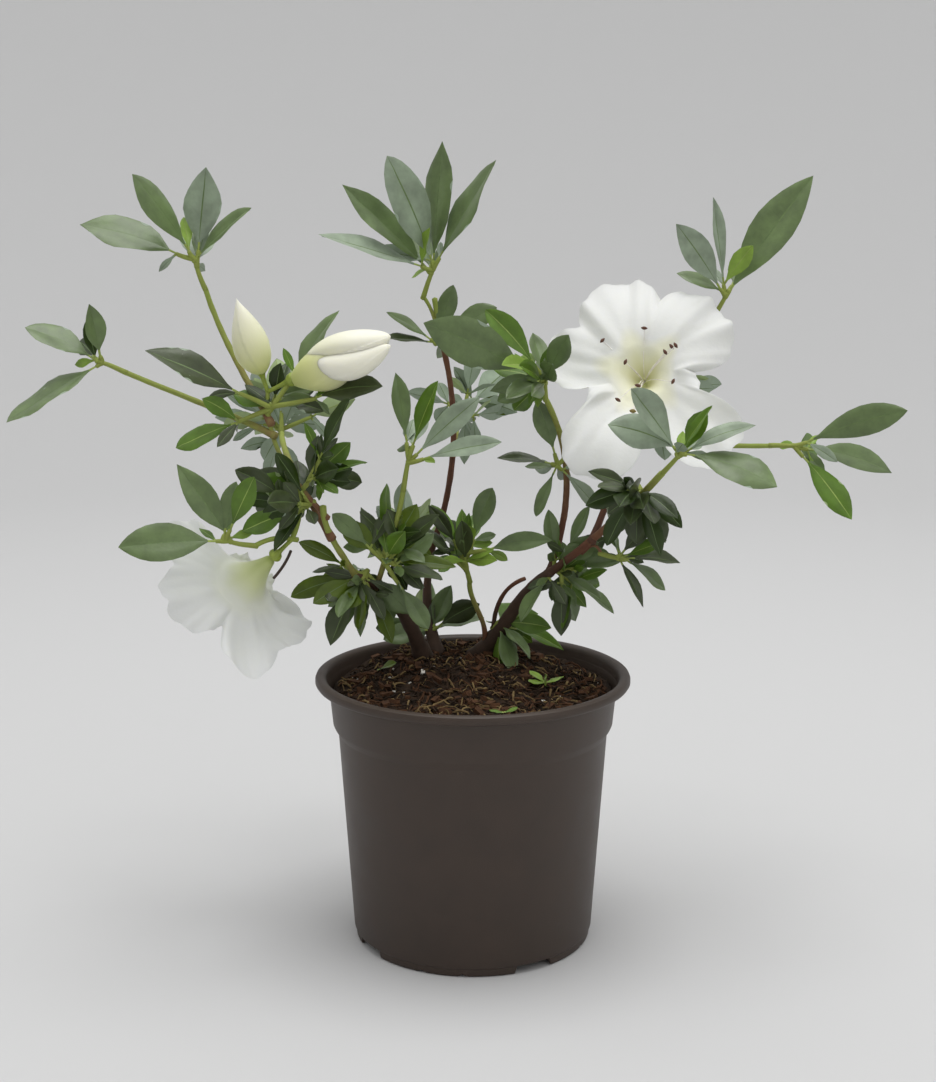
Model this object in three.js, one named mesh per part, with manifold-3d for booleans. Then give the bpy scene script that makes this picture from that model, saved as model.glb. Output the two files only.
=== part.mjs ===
// A young azalea in a round nursery pot: pot, potting soil, woody limbs, and the masses of leaf and
// blossom that the limbs carry. Millimetres, +Z up. The origin is the middle of the pot's underside,
// +X is the shrub's right and -Y its front.
import * as THREE from "three";
import { mergeVertices } from "three/addons/utils/BufferGeometryUtils.js";
import Module from "manifold-3d";

const wasm = await Module();
wasm.setup();

// Driving dimensions
const touchGap = 0.3; // air kept between two solids that touch
const rimRadius = 65; // a 13 cm pot
const rimWidth = 4.8;
const potHeight = 112.6;
const lipDepth = 4.2; // the rolled lip, top to lower edge
const collarTopRadius = 59.3;
const collarFootRadius = 57.8;
const collarFootZ = 92;
const bodyTopRadius = 55.7;
const bodyTopZ = 88.5;
const bodyFootRadius = 50.1;
const footRadius = 49.2;
const footHeight = 3.6;
const wall = 1.3;
const floorThickness = 5;
const potSides = 36;
const drainNotch = { count: 4, firstAngle: 30, width: 17, depth: 7, height: 4 };
const drainNick = { offsets: [35, 55], width: 2.6, depth: 3, height: 1.4 }; // offsets: degrees past a notch

const soil = { edgeZ: 105, moundHeight: 7, moundX: -7, moundY: 29, moundReach: 34, rings: 5, sides: 20 };

// A limb or a leaf tip lies along a bearing: heading is its turn in the front plane, from +X
// upwards, and toward is its turn out of that plane to the front, both in degrees. Two values are
// those at a limb's root and at its tip, and the limb bends evenly from one to the other. A limb
// with into ends where it enters that mass. Any other limb stays whole, and the masses are cut
// round it.
const limbs = [
  { name: "stem_left", from: [-21, 25, 110], length: 60, radius: [2.6, 1.8], flare: 0.45,
    heading: [95, 150], toward: [20, 35] },
  { name: "bough_left", on: "stem_left", at: 1, length: 45, radius: [1.8, 1.4],
    heading: [125, 90], toward: [20, 15], into: "foliage_pair" },
  { name: "stem_right", from: [3, 31, 110], length: 55, radius: [2.8, 2.2], flare: 0.4,
    heading: [65, 45], toward: [20, 20] },
  { name: "stem_right_thin", on: "stem_right", at: 0.25, length: 35, radius: [1.0, 0.8],
    heading: [100, 30], toward: [15, 30] },
  { name: "bough_right_front", on: "stem_right", at: 1, length: 85, radius: [1.8, 1.2],
    heading: [45, 55], toward: [35, 30], into: "foliage_front" },
  { name: "bough_right_side", on: "bough_right_front", at: 0.25, length: 15, radius: [0.9, 0.7],
    heading: [-10, -15], toward: [20, 10], into: "foliage_right_side" },
  { name: "bough_big_leaf", on: "stem_right", at: 0.97, length: 90, radius: [1.4, 1.0],
    heading: [65, 125], toward: [-25, 40], into: "foliage_big_leaf" },
  { name: "bough_bloom", on: "bough_right_front", at: 0.33, length: 70, radius: [1.5, 1.2],
    heading: [60, 70], toward: [-50, -15] },
  { name: "bough_right_end", on: "bough_bloom", at: 0.75, length: 70, radius: [1.2, 1.0],
    heading: [-10, 5], toward: [-20, 25], into: "foliage_right_end" },
  { name: "bough_top_right", on: "bough_bloom", at: 0.95, length: 80, radius: [1.3, 1.0],
    heading: [40, 75], toward: [-25, 25], into: "foliage_top_right" },
  { name: "bough_back_right", on: "bough_bloom", at: 0.6, length: 75, radius: [1.3, 1.0],
    heading: [60, 35], toward: [-40, -90], into: "foliage_back_right" },
  { name: "stem_middle", from: [-15, 34, 110], length: 50, radius: [2.0, 1.5], flare: 0.4,
    heading: [110, 75], toward: [-20, 5] },
  { name: "bough_middle", on: "stem_middle", at: 1, length: 90, radius: [1.3, 1.15],
    heading: [70, 105], toward: [5, 5] },
  { name: "bough_top_centre", on: "bough_middle", at: 1, length: 40, radius: [1.3, 1.0],
    heading: [100, 95], toward: [10, 5], into: "foliage_top_centre" },
  { name: "bough_top_side", on: "bough_middle", at: 0.95, length: 40, radius: [0.9, 0.8],
    heading: [105, 120], toward: [10, 0], into: "foliage_top_centre" },
  { name: "bough_back_low", on: "stem_middle", at: 0.75, length: 50, radius: [1.3, 1.0],
    heading: [185, 160], toward: [-90, -50], into: "foliage_back_low" },
  { name: "bough_centre", on: "stem_left", at: 0.8, length: 80, radius: [1.3, 1.0],
    heading: [70, 85], toward: [20, 5], into: "foliage_centre" },
  { name: "bough_low_centre", on: "stem_right", at: 0.15, length: 45, radius: [1.2, 0.9],
    heading: [105, 105], toward: [15, 15], into: "foliage_low_centre" },
  { name: "bough_buds", on: "bough_left", at: 0.7, length: 55, radius: [1.7, 1.3],
    heading: [140, 90], toward: [-5, -10] },
  { name: "bough_far_left", on: "bough_buds", at: 0.7, length: 75, radius: [1.3, 1.0],
    heading: [160, 155], toward: [-25, 20], into: "foliage_far_left" },
  { name: "bough_top_left", on: "bough_buds", at: 0.8, length: 75, radius: [1.3, 1.0],
    heading: [130, 105], toward: [-45, 10], into: "foliage_top_left" },
  { name: "bough_low_left", on: "bough_buds", at: 0.25, length: 20, radius: [1.3, 1.2],
    heading: [270, 250], toward: [0, 15] },
  { name: "bough_left_bloom", on: "bough_low_left", at: 1, length: 40, radius: [1.1, 0.8],
    heading: [200, 130], toward: [20, 10], into: "foliage_low_left" },
  { name: "bough_back_left", on: "bough_left", at: 0.5, length: 105, radius: [1.5, 1.0],
    heading: [130, 130], toward: [-40, -90], into: "foliage_back_left" },
  { name: "bough_back_centre", on: "bough_middle", at: 0.45, length: 55, radius: [1.2, 0.9],
    heading: [85, 60], toward: [-90, -55], into: "foliage_back_centre" },
];

// A mass is a faceted ball round a point on its limb, drawn out to the tips of its leaves. The tips
// stand in fans: [first heading, last heading, tips, first reach, last reach], evenly spaced, with
// their reach going evenly from the first to the last. One more leaf goes behind, as far as back.
const masses = [
  { name: "foliage_far_left", on: "bough_far_left", at: 0.98, core: 8, detail: 2, width: 11, back: 30,
    fans: [[100, 210, 3, 25, 45]] },
  { name: "foliage_top_left", on: "bough_top_left", at: 0.98, core: 9, detail: 2, width: 14, back: 35,
    fans: [[45, 160, 4, 35, 50]] },
  { name: "foliage_buds", on: "bough_buds", at: 0.85, core: 15, detail: 2, width: 13, back: 35,
    fans: [[15, 55, 2, 50, 50], [150, 200, 2, 55, 40]] },
  { name: "foliage_pair", on: "bough_left", at: 0.98, core: 9, detail: 1, width: 17, back: 20,
    fans: [[70, 105, 2, 40, 30]] },
  { name: "foliage_inner_left", on: "bough_buds", at: 0.16, core: 12, detail: 1, width: 9, back: 25,
    fans: [[155, 205, 3, 30, 25]] },
  { name: "foliage_low_left", on: "bough_left_bloom", at: 0.6, core: 9, detail: 1, width: 11, back: 15,
    fans: [[70, 180, 3, 30, 45]] },
  { name: "foliage_low_hanging", on: "stem_left", at: 0.95, core: 11, detail: 1, width: 12, back: 25,
    fans: [[145, 295, 4, 30, 30]] },
  { name: "foliage_centre", on: "bough_centre", at: 0.72, core: 11, detail: 2, width: 9, back: 30,
    fans: [[15, 125, 5, 40, 35]] },
  { name: "foliage_low_core", on: "bough_centre", at: 0.2, core: 15, detail: 1, width: 12, back: 20,
    fans: [[-60, 140, 5, 30, 25]] },
  { name: "foliage_low_centre", on: "bough_low_centre", at: 0.95, core: 11, detail: 1, width: 10, back: 20,
    fans: [[15, 120, 3, 40, 25]] },
  { name: "foliage_behind_bloom", on: "bough_big_leaf", at: 0.55, core: 11, detail: 1, width: 12, back: 20,
    fans: [[115, 305, 4, 30, 25]] },
  { name: "foliage_big_leaf", on: "bough_big_leaf", at: 0.98, core: 8, detail: 1, width: 15, back: 20,
    fans: [[100, 150, 3, 20, 55]] },
  { name: "foliage_right_low", on: "stem_right", at: 1, core: 10, detail: 1, width: 12, back: 25,
    fans: [[-80, 60, 4, 25, 30]] },
  { name: "foliage_right_side", on: "bough_right_side", at: 0.95, core: 6, detail: 1, width: 8, back: 10,
    fans: [[-60, 100, 4, 15, 15]] },
  { name: "foliage_right_hanging", on: "bough_right_front", at: 0.7, core: 8, detail: 1, width: 13, back: 15,
    fans: [[185, 290, 3, 20, 25]] },
  { name: "foliage_front", on: "bough_right_front", at: 1, core: 10, detail: 2, width: 11, back: 15,
    fans: [[-15, 60, 3, 40, 25], [125, 155, 2, 35, 30]] },
  { name: "foliage_right_end", on: "bough_right_end", at: 0.97, core: 8, detail: 2, width: 14, back: 30,
    fans: [[-50, 20, 3, 40, 50]] },
  { name: "foliage_top_right", on: "bough_top_right", at: 0.72, core: 10, detail: 2, width: 12, back: 40,
    fans: [[40, 55, 2, 60, 80], [70, 125, 3, 45, 40]] },
  { name: "foliage_top_centre", on: "bough_top_centre", at: 0.7, core: 10, detail: 2, width: 12, back: 40,
    fans: [[60, 160, 5, 55, 50]] },
  { name: "foliage_middle", on: "bough_middle", at: 0.95, core: 6, detail: 1, width: 8, back: 20,
    fans: [[40, 145, 3, 30, 30]] },
  { name: "foliage_base_right", on: "stem_right", at: 0.32, core: 6, detail: 1, width: 9, back: 10,
    fans: [[-15, 5, 2, 30, 15]] },
  { name: "foliage_base_centre", on: "stem_middle", at: 0.3, core: 8, detail: 1, width: 10, back: 15,
    fans: [[25, 190, 2, 25, 15]] },
  { name: "foliage_back_left", on: "bough_back_left", at: 0.9, core: 16, detail: 1, width: 16, back: 45,
    lean: -20, fans: [[20, 250, 4, 35, 30]] },
  { name: "foliage_back_right", on: "bough_back_right", at: 0.9, core: 16, detail: 1, width: 16, back: 45,
    lean: -20, fans: [[-80, 160, 4, 35, 40]] },
  { name: "foliage_back_centre", on: "bough_back_centre", at: 0.92, core: 13, detail: 1, width: 14, back: 40,
    lean: -20, fans: [[-90, 165, 4, 25, 30]] },
  { name: "foliage_back_low", on: "bough_back_low", at: 0.9, core: 12, detail: 1, width: 14, back: 35,
    lean: -20, fans: [[15, 160, 3, 30, 30]] },
];

// Buds are spindles, and a bloom is a shallow five-lobed cup on a tapering throat.
const buds = [
  { name: "bud_upright", on: "bough_buds", at: 0.98, start: 5, facing: [105, 10], length: 34, width: 16 },
  { name: "bud_side", on: "bough_buds", at: 0.98, start: 9, facing: [27, 16], length: 52, width: 19 },
];
const blooms = [
  { name: "bloom_right", on: "bough_bloom", at: 1, start: 1, facing: [97, 68], reach: 34, radius: 45,
    cup: 0.62, lobeShare: 0.2, turn: 90 },
  { name: "bloom_left", on: "bough_low_left", at: 1, start: 4, facing: [222, 10], reach: 27, radius: 38,
    cup: 0.5, lobeShare: 0.26, turn: 20 },
];

const materials = {
  pot: new THREE.MeshStandardMaterial({ color: 0x45392f, roughness: 0.6, metalness: 0 }),
  soil: new THREE.MeshStandardMaterial({ color: 0x33241a, roughness: 1, metalness: 0 }),
  bark: new THREE.MeshStandardMaterial({ color: 0x4a3628, roughness: 0.85, metalness: 0 }),
  leaf: new THREE.MeshStandardMaterial({ color: 0x4f6b35, roughness: 0.6, metalness: 0 }),
  petal: new THREE.MeshStandardMaterial({ color: 0xf1f1ee, roughness: 0.7, metalness: 0 }),
};

const degrees = Math.PI / 180;

// The unit vector of a bearing.
function bearing(heading, toward) {
  const across = Math.cos(toward * degrees);
  return new THREE.Vector3(
    across * Math.cos(heading * degrees),
    -Math.sin(toward * degrees),
    across * Math.sin(heading * degrees),
  );
}

// A limb's middle line: steps of equal length, each along the bearing at its own middle.
const pathSteps = 48;
function bentPath(start, heading, toward, length) {
  const points = [start.clone()];
  for (let i = 0; i < pathSteps; i += 1) {
    const share = (i + 0.5) / pathSteps;
    const step = bearing(
      THREE.MathUtils.lerp(heading[0], heading[1], share),
      THREE.MathUtils.lerp(toward[0], toward[1], share),
    );
    points.push(points[i].clone().addScaledVector(step, length / pathSteps));
  }
  return points;
}

function pointAt(path, share) {
  const place = share * pathSteps;
  const i = Math.min(Math.floor(place), pathSteps - 1);
  return path[i].clone().lerp(path[i + 1], place - i);
}

// Merges the points that share a place, so that only a closed surface is left.
function closed(geometry) {
  geometry.deleteAttribute("normal");
  geometry.deleteAttribute("uv");
  return mergeVertices(geometry, 1e-4);
}

// A closed geometry as a solid.
function solidOf(geometry) {
  return new wasm.Manifold(
    new wasm.Mesh({
      numProp: 3,
      vertProperties: new Float32Array(geometry.attributes.position.array),
      triVerts: new Uint32Array(geometry.index.array),
    }),
  );
}

// The same shape grown by the gap that its neighbours keep: each point moves out along its normal.
const growth = 1.3 * touchGap; // a facet moves less than its corners do
function grownShape(geometry) {
  const grown = geometry.clone();
  grown.computeVertexNormals();
  const place = grown.attributes.position.array;
  grown.attributes.normal.array.forEach((n, i) => {
    place[i] += growth * n;
  });
  return grown;
}

function largestBody(solid) {
  return solid.decompose().reduce((a, b) => (a.volume() > b.volume() ? a : b));
}

function meshOf(name, solid, material) {
  const made = solid.getMesh();
  const geometry = new THREE.BufferGeometry();
  geometry.setAttribute("position", new THREE.BufferAttribute(made.vertProperties, 3));
  geometry.setIndex(new THREE.BufferAttribute(made.triVerts, 1));
  geometry.computeVertexNormals();
  const mesh = new THREE.Mesh(geometry, material);
  mesh.name = name;
  return mesh;
}

// A cylinder bent along a path, its radius running from root to tip with an optional root flare.
const limbSides = 6;
const ringStep = 16;
const flareReach = 0.16; // share of the length over which a flare dies away
function limbShape(path, limb) {
  const rings = Math.ceil(limb.length / ringStep);
  const cylinder = new THREE.CylinderGeometry(1, 1, 1, limbSides, rings);
  const place = cylinder.attributes.position;
  const frameX = new THREE.Vector3();
  const frameY = new THREE.Vector3();
  for (let i = 0; i < place.count; i += 1) {
    const share = place.getY(i) + 0.5;
    const centre = pointAt(path, share);
    const before = pointAt(path, Math.max(share - 0.02, 0));
    const along = pointAt(path, Math.min(share + 0.02, 1)).sub(before).normalize();
    frameX.set(0, 1, 0).cross(along).normalize();
    frameY.copy(along).cross(frameX);
    const swell = 1 + (limb.flare ?? 0) * Math.exp(-share / flareReach);
    const r = THREE.MathUtils.lerp(...limb.radius, share) * swell;
    centre.addScaledVector(frameX, r * place.getX(i));
    centre.addScaledVector(frameY, -r * place.getZ(i));
    place.setXYZ(i, centre.x, centre.y, centre.z);
  }
  return closed(cylinder);
}

// Lays a shape that was made round +Y along a bearing, from a start.
function laidAlong(geometry, start, along, acrossFrom) {
  const across = acrossFrom.clone().cross(along).normalize();
  const side = across.clone().cross(along);
  return geometry.applyMatrix4(new THREE.Matrix4().makeBasis(across, along, side).setPosition(start));
}

// A bud: a spindle, pointed at its far end.
const budSides = 8;
const budProfile = [[0, 0], [0.55, 0.12], [1, 0.42], [0.84, 0.68], [0.45, 0.88], [0, 1]]; // [radius, along]
function budShape(bud, start) {
  const outline = budProfile.map(([r, along]) => new THREE.Vector2((r * bud.width) / 2, along * bud.length));
  const lathe = new THREE.LatheGeometry(outline, budSides);
  return closed(laidAlong(lathe, start, bearing(...bud.facing), new THREE.Vector3(0, 1, 0)));
}

// The leaves of a mass, by its fans. They lean to the front and back by turns, and the one that goes
// behind stands in the middle of the first fan.
const frontLean = 8;
const leanSwing = 8;
const behindLean = -55;
function leavesOf({ fans, width, back, lean = frontLean }) {
  const leaves = fans.flatMap(([first, last, tips, firstReach, lastReach]) =>
    Array.from({ length: tips }, (_, i) => {
      const share = i / (tips - 1);
      return {
        way: bearing(THREE.MathUtils.lerp(first, last, share), lean + (i % 2 ? -leanSwing : leanSwing)),
        reach: THREE.MathUtils.lerp(firstReach, lastReach, share),
        width,
      };
    }),
  );
  const middle = (fans[0][0] + fans[0][1]) / 2;
  return [...leaves, { way: bearing(middle, behindLean), reach: back, width }];
}

// A mass. Every point of the ball lies at the core's radius, or further where a leaf draws it out:
// the pull is full along the leaf and falls off as a bell curve of the angle from it. The point
// nearest each leaf is then moved to that leaf's tip. The ball is star-shaped, so a larger copy
// round the same centre lies clear of it on all sides.
const massGrowth = 1.05;
const pullSpread = 1.3; // the bell's spread, in times the angle that the leaf's width takes up
const leastSpread = 12 * degrees;
function massShape(mass, centre, growth = 1) {
  const ball = closed(new THREE.IcosahedronGeometry(1, mass.detail));
  const place = ball.attributes.position;
  const ways = Array.from({ length: place.count }, (_, i) =>
    new THREE.Vector3().fromBufferAttribute(place, i),
  );
  const leaves = leavesOf(mass).map(({ way, reach, width }) => ({
    way,
    reach,
    spread: Math.max(leastSpread, pullSpread * Math.atan(width / reach)),
  }));
  const tips = ways.map((way) =>
    leaves.reduce((furthest, leaf) => {
      const pull = Math.exp(-((way.angleTo(leaf.way) / leaf.spread) ** 2));
      return Math.max(furthest, mass.core + (leaf.reach - mass.core) * pull);
    }, mass.core),
  );
  const points = ways.map((way, i) => way.clone().multiplyScalar(tips[i]));
  for (const { way, reach } of leaves) {
    const nearness = ways.map((other) => other.dot(way));
    points[nearness.indexOf(Math.max(...nearness))].copy(way).multiplyScalar(reach);
  }
  points.forEach((point, i) => {
    point.multiplyScalar(growth).add(centre);
    place.setXYZ(i, point.x, point.y, point.z);
  });
  return ball;
}

// A bloom: a cup turned from a throat to a rim, the rim waved into five lobes. Its front lies a wall's
// thickness before its back.
const bloomSides = 20;
const bloomRings = 3;
const bloomWall = 3;
const throatSwell = 0.7; // under 1, the back widens fast from the throat
function bloomShape(bloom, start) {
  const back = [];
  const front = [];
  for (let i = 0; i <= bloomRings; i += 1) {
    const share = i / bloomRings;
    const radius = share * bloom.radius;
    const frontAlong = (1 - bloom.cup + bloom.cup * share) * bloom.reach;
    const backAlong = Math.min(share ** throatSwell * bloom.reach, frontAlong - bloomWall);
    front.unshift([radius, frontAlong]);
    back.push([radius + (Math.sign(i) * bloomWall) / 2, backAlong]);
  }
  const outline = [...back, ...front].map(([r, along]) => new THREE.Vector2(r, along));
  const lathe = new THREE.LatheGeometry(outline, bloomSides);
  const place = lathe.attributes.position;
  for (let i = 0; i < place.count; i += 1) {
    const [x, z] = [place.getX(i), place.getZ(i)];
    const angle = Math.atan2(z, x) - bloom.turn * degrees;
    const share = Math.hypot(x, z) / bloom.radius;
    const wave = 1 - bloom.lobeShare * share * share * (0.5 - 0.5 * Math.cos(5 * angle));
    place.setX(i, x * wave);
    place.setZ(i, z * wave);
  }
  return closed(laidAlong(lathe, start, bearing(...bloom.facing), new THREE.Vector3(0, 0, 1)));
}

function potSolid() {
  const lipFoot = potHeight - lipDepth;
  const profile = [
    [0, 0],
    [footRadius, 0],
    [footRadius, footHeight],
    [bodyFootRadius, footHeight + 0.5],
    [bodyTopRadius, bodyTopZ],
    [collarFootRadius, collarFootZ],
    [collarTopRadius, lipFoot - 0.4],
    [rimRadius - 1.6, lipFoot],
    [rimRadius, lipFoot + 1.6],
    [rimRadius - 0.9, potHeight],
    [rimRadius - rimWidth + 0.9, potHeight],
    [collarTopRadius - wall, lipFoot - 2.2],
    [collarFootRadius - wall, collarFootZ - 0.6],
    [bodyTopRadius - wall, bodyTopZ - 0.6],
    [bodyFootRadius - wall, floorThickness],
    [0, floorThickness],
  ].map(([r, z]) => new THREE.Vector2(r, z));
  let pot = solidOf(closed(new THREE.LatheGeometry(profile, potSides).rotateX(Math.PI / 2)));
  const cut = (angle, { width, depth, height }) => {
    const block = new THREE.BoxGeometry(2 * depth, width, 2 * height);
    block.translate(footRadius, 0, 0).rotateZ(angle * degrees);
    pot = pot.subtract(solidOf(closed(block)));
  };
  for (let i = 0; i < drainNotch.count; i += 1) {
    const angle = drainNotch.firstAngle + (360 / drainNotch.count) * i;
    cut(angle, drainNotch);
    drainNick.offsets.forEach((offset) => cut(angle + offset, drainNick));
  }
  return pot;
}

// Height of the potting soil: low at the wall, a little uneven, and a flat-topped mound at the stems.
const plateauShare = 1.7;
const unevenHeight = 0.6;
function soilHeight(x, y) {
  const away = Math.hypot(x - soil.moundX, y - soil.moundY) / soil.moundReach;
  const mound = Math.min(1, plateauShare * Math.exp(-(away ** 2)));
  const uneven = unevenHeight * Math.sin(x / 7 + 1) * Math.cos(y / 9);
  return soil.edgeZ + soil.moundHeight * mound + uneven * (1 - mound);
}

// The soil stands a little clear of the pot's faceted inner wall.
const soilClearance = 0.8;
function soilSolid() {
  const topRadius = collarTopRadius - wall - soilClearance;
  const profile = [
    [0, floorThickness + touchGap],
    [bodyFootRadius - wall - soilClearance, floorThickness + touchGap],
    [bodyTopRadius - wall - soilClearance, bodyTopZ],
    [collarFootRadius - wall - soilClearance, collarFootZ + 1],
  ].map(([r, z]) => new THREE.Vector2(r, z));
  for (let i = soil.rings; i >= 0; i -= 1) {
    profile.push(new THREE.Vector2((topRadius * i) / soil.rings, soil.edgeZ));
  }
  const lathe = new THREE.LatheGeometry(profile, soil.sides).rotateX(Math.PI / 2);
  const place = lathe.attributes.position;
  for (let i = 0; i < place.count; i += 1) {
    if (place.getZ(i) > soil.edgeZ - 1) {
      place.setZ(i, soilHeight(place.getX(i), place.getY(i)));
    }
  }
  return solidOf(closed(lathe));
}

const shrub = new THREE.Group();
shrub.name = "potted_azalea";

const soilBody = soilSolid();
shrub.add(meshOf("pot", potSolid(), materials.pot));
shrub.add(meshOf("soil", soilBody, materials.soil));

// A solid cut clear of others, whose boxes say which of them are near.
function clearOf(solid, others) {
  const box = solid.boundingBox();
  return others.reduce((left, other) => {
    const near = other.boundingBox();
    const apart = [0, 1, 2].some((k) => near.min[k] > box.max[k] || near.max[k] < box.min[k]);
    return apart ? left : left.subtract(other);
  }, solid);
}

// The limbs' middle lines, and on them each mass as made and as its neighbours keep clear of it.
const paths = new Map();
for (const limb of limbs) {
  const start = limb.on ? pointAt(paths.get(limb.on), limb.at) : new THREE.Vector3(...limb.from);
  paths.set(limb.name, bentPath(start, limb.heading, limb.toward, limb.length));
}
const massPairs = new Map(
  masses.map((mass) => {
    const centre = pointAt(paths.get(mass.on), mass.at);
    return [mass.name, [solidOf(massShape(mass, centre)), solidOf(massShape(mass, centre, massGrowth))]];
  }),
);

// Each solid is cut clear of the grown copies of those made before it.
const made = [];
function place(name, solid, grown, material) {
  shrub.add(meshOf(name, largestBody(clearOf(solid, made)), material));
  made.push(grown);
}

// Stems are cut flat at ground level, on the top of the mound.
const groundZ = soil.edgeZ + soil.moundHeight + touchGap;
const slab = 60;
for (const limb of limbs) {
  const path = paths.get(limb.name);
  const shape = limbShape(path, limb);
  const ends = limb.into ? [massPairs.get(limb.into)[1]] : [];
  if (!limb.on) {
    const below = new THREE.BoxGeometry(slab, slab, slab);
    ends.push(solidOf(closed(below.translate(path[0].x, path[0].y, groundZ - slab / 2))));
  }
  place(limb.name, clearOf(solidOf(shape), ends), clearOf(solidOf(grownShape(shape)), ends), materials.bark);
}
made.push(soilBody.translate([0, 0, touchGap]));
for (const bud of buds) {
  const start = pointAt(paths.get(bud.on), bud.at).addScaledVector(bearing(...bud.facing), bud.start);
  const shape = budShape(bud, start);
  place(bud.name, solidOf(shape), solidOf(grownShape(shape)), materials.petal);
}
for (const bloom of blooms) {
  const start = pointAt(paths.get(bloom.on), bloom.at).addScaledVector(bearing(...bloom.facing), bloom.start);
  const shape = bloomShape(bloom, start);
  place(bloom.name, solidOf(shape), solidOf(grownShape(shape)), materials.petal);
}
for (const [name, pair] of massPairs) {
  place(name, ...pair, materials.leaf);
}

export default shrub;
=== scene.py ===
import bpy
import numpy as np
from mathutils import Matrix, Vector
from mathutils.bvhtree import BVHTree


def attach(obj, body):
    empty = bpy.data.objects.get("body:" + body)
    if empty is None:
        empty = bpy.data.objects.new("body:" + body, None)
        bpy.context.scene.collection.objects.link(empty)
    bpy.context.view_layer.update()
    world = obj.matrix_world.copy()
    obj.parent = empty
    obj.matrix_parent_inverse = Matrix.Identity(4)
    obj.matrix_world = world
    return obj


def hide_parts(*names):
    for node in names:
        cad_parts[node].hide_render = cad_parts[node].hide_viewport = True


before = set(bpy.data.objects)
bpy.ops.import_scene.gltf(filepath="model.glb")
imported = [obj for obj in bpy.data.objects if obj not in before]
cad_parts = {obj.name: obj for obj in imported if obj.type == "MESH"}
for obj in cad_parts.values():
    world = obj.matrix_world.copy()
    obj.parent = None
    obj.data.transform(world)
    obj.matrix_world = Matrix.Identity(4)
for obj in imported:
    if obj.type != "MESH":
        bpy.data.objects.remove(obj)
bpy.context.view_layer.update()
metresPerMm = 0.001  # every size below is in millimetres until it goes into a mesh


# Small tools.

# sRGB hex to linear: c/12.92 below 0.04045, else ((c + 0.055)/1.055)^2.4
def srgb(code):
    part = np.array([int(code[i:i + 2], 16) for i in (1, 3, 5)]) / 255
    linear = np.where(part <= 0.04045, part / 12.92, ((part + 0.055) / 1.055) ** 2.4)
    return (*linear, 1.0)


def addNode(tree, kind, settings=None, inputs=None):
    node = tree.nodes.new(kind)
    for key, value in (settings or {}).items():
        setattr(node, key, value)
    for key, value in (inputs or {}).items():
        if isinstance(value, bpy.types.NodeSocket):
            tree.links.new(value, node.inputs[key])
        else:
            node.inputs[key].default_value = value
    return node


# a colour ramp through (place, hex) stops, read at a value
def addRamp(tree, value, stops):
    ramp = addNode(tree, "ShaderNodeValToRGB", None, {"Fac": value})
    elements = ramp.color_ramp.elements
    while len(elements) < len(stops):
        elements.new(0.5)
    for element, (place, code) in zip(elements, stops):
        element.position = place
        element.color = srgb(code)
    return ramp


# a material with one Principled shader; paint(tree) gives the sockets that a pattern drives
def finish(name, settings, paint=None):
    material = bpy.data.materials.new(name)
    material.use_nodes = True
    tree = material.node_tree
    tree.nodes.clear()
    inputs = dict(settings)
    if paint:
        inputs.update(paint(tree))
    shader = addNode(tree, "ShaderNodeBsdfPrincipled", None, inputs)
    addNode(tree, "ShaderNodeOutputMaterial", None, {"Surface": shader.outputs[0]})
    return material


# noise on object coordinates with features of a real size: scale = 1 / size
def noiseOf(tree, sizeMm, detail=2.0, roughness=0.5, stretch=None):
    place = addNode(tree, "ShaderNodeTexCoord").outputs["Object"]
    if stretch:
        place = addNode(tree, "ShaderNodeMapping", None, {"Vector": place, "Scale": stretch}).outputs[0]
    return addNode(tree, "ShaderNodeTexNoise", None, {
        "Vector": place, "Scale": 1 / (sizeMm * metresPerMm), "Detail": detail, "Roughness": roughness,
    }).outputs["Fac"]


# two colours mixed softly by a value
def mixOf(tree, value, first, second):
    return addRamp(tree, value, [(0.25, first), (0.75, second)]).outputs["Color"]


# a hex colour made darker or lighter by a share
def shade(code, share):
    return "#" + "".join("%02x" % min(255, int(int(code[i:i + 2], 16) * share)) for i in (1, 3, 5))


# a plain small thing: one colour that drifts a little from place to place
def driftingFinish(name, code, roughness, sizeMm=2.5):
    def paint(tree):
        drift = noiseOf(tree, sizeMm, 3, 0.6)
        return {"Base Color": mixOf(tree, drift, shade(code, 0.88), shade(code, 1.12))}
    return finish(name, {"Roughness": roughness}, paint)


def bumpOf(tree, height, strength, distanceMm):
    return addNode(tree, "ShaderNodeBump", None, {
        "Height": height, "Strength": strength, "Distance": distanceMm * metresPerMm,
    }).outputs["Normal"]


# a unit vector: heading turns from +X up to +Z in the front plane, toward turns it to the front (-Y)
def bearing(heading, toward):
    heading, toward = np.radians(heading), np.radians(toward)
    flat = np.cos(toward)
    return np.stack([flat * np.cos(heading), -np.sin(toward) + 0 * heading, flat * np.sin(heading)], -1)


def unit(vectors):
    return vectors / np.maximum(np.linalg.norm(vectors, axis=-1, keepdims=True), 1e-9)


# smooth unevenness in about -1..1: the mean of sine waves in seeded directions, about one length each
def ripple(points, lengthMm, seed, waves=9):
    random = np.random.default_rng(seed)
    directions = unit(random.normal(size=(waves, 3))) * random.uniform(0.6, 1.6, (waves, 1))
    phases = random.uniform(0, 2 * np.pi, waves)
    return np.sin(points @ directions.T * (2 * np.pi / lengthMm) + phases).sum(-1) / np.sqrt(waves) / 1.4


# corner numbers of the quads of a grid, facing columns x rows; wrap joins the last column to the first
def gridFaces(rows, columns, wrap=False):
    numbers = np.arange(rows * columns).reshape(rows, columns)
    if wrap:
        numbers = np.concatenate([numbers, numbers[:, :1]], 1)
    corners = [numbers[:-1, :-1], numbers[:-1, 1:], numbers[1:, 1:], numbers[1:, :-1]]
    return np.stack(corners, -1).reshape(-1, 4)


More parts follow.
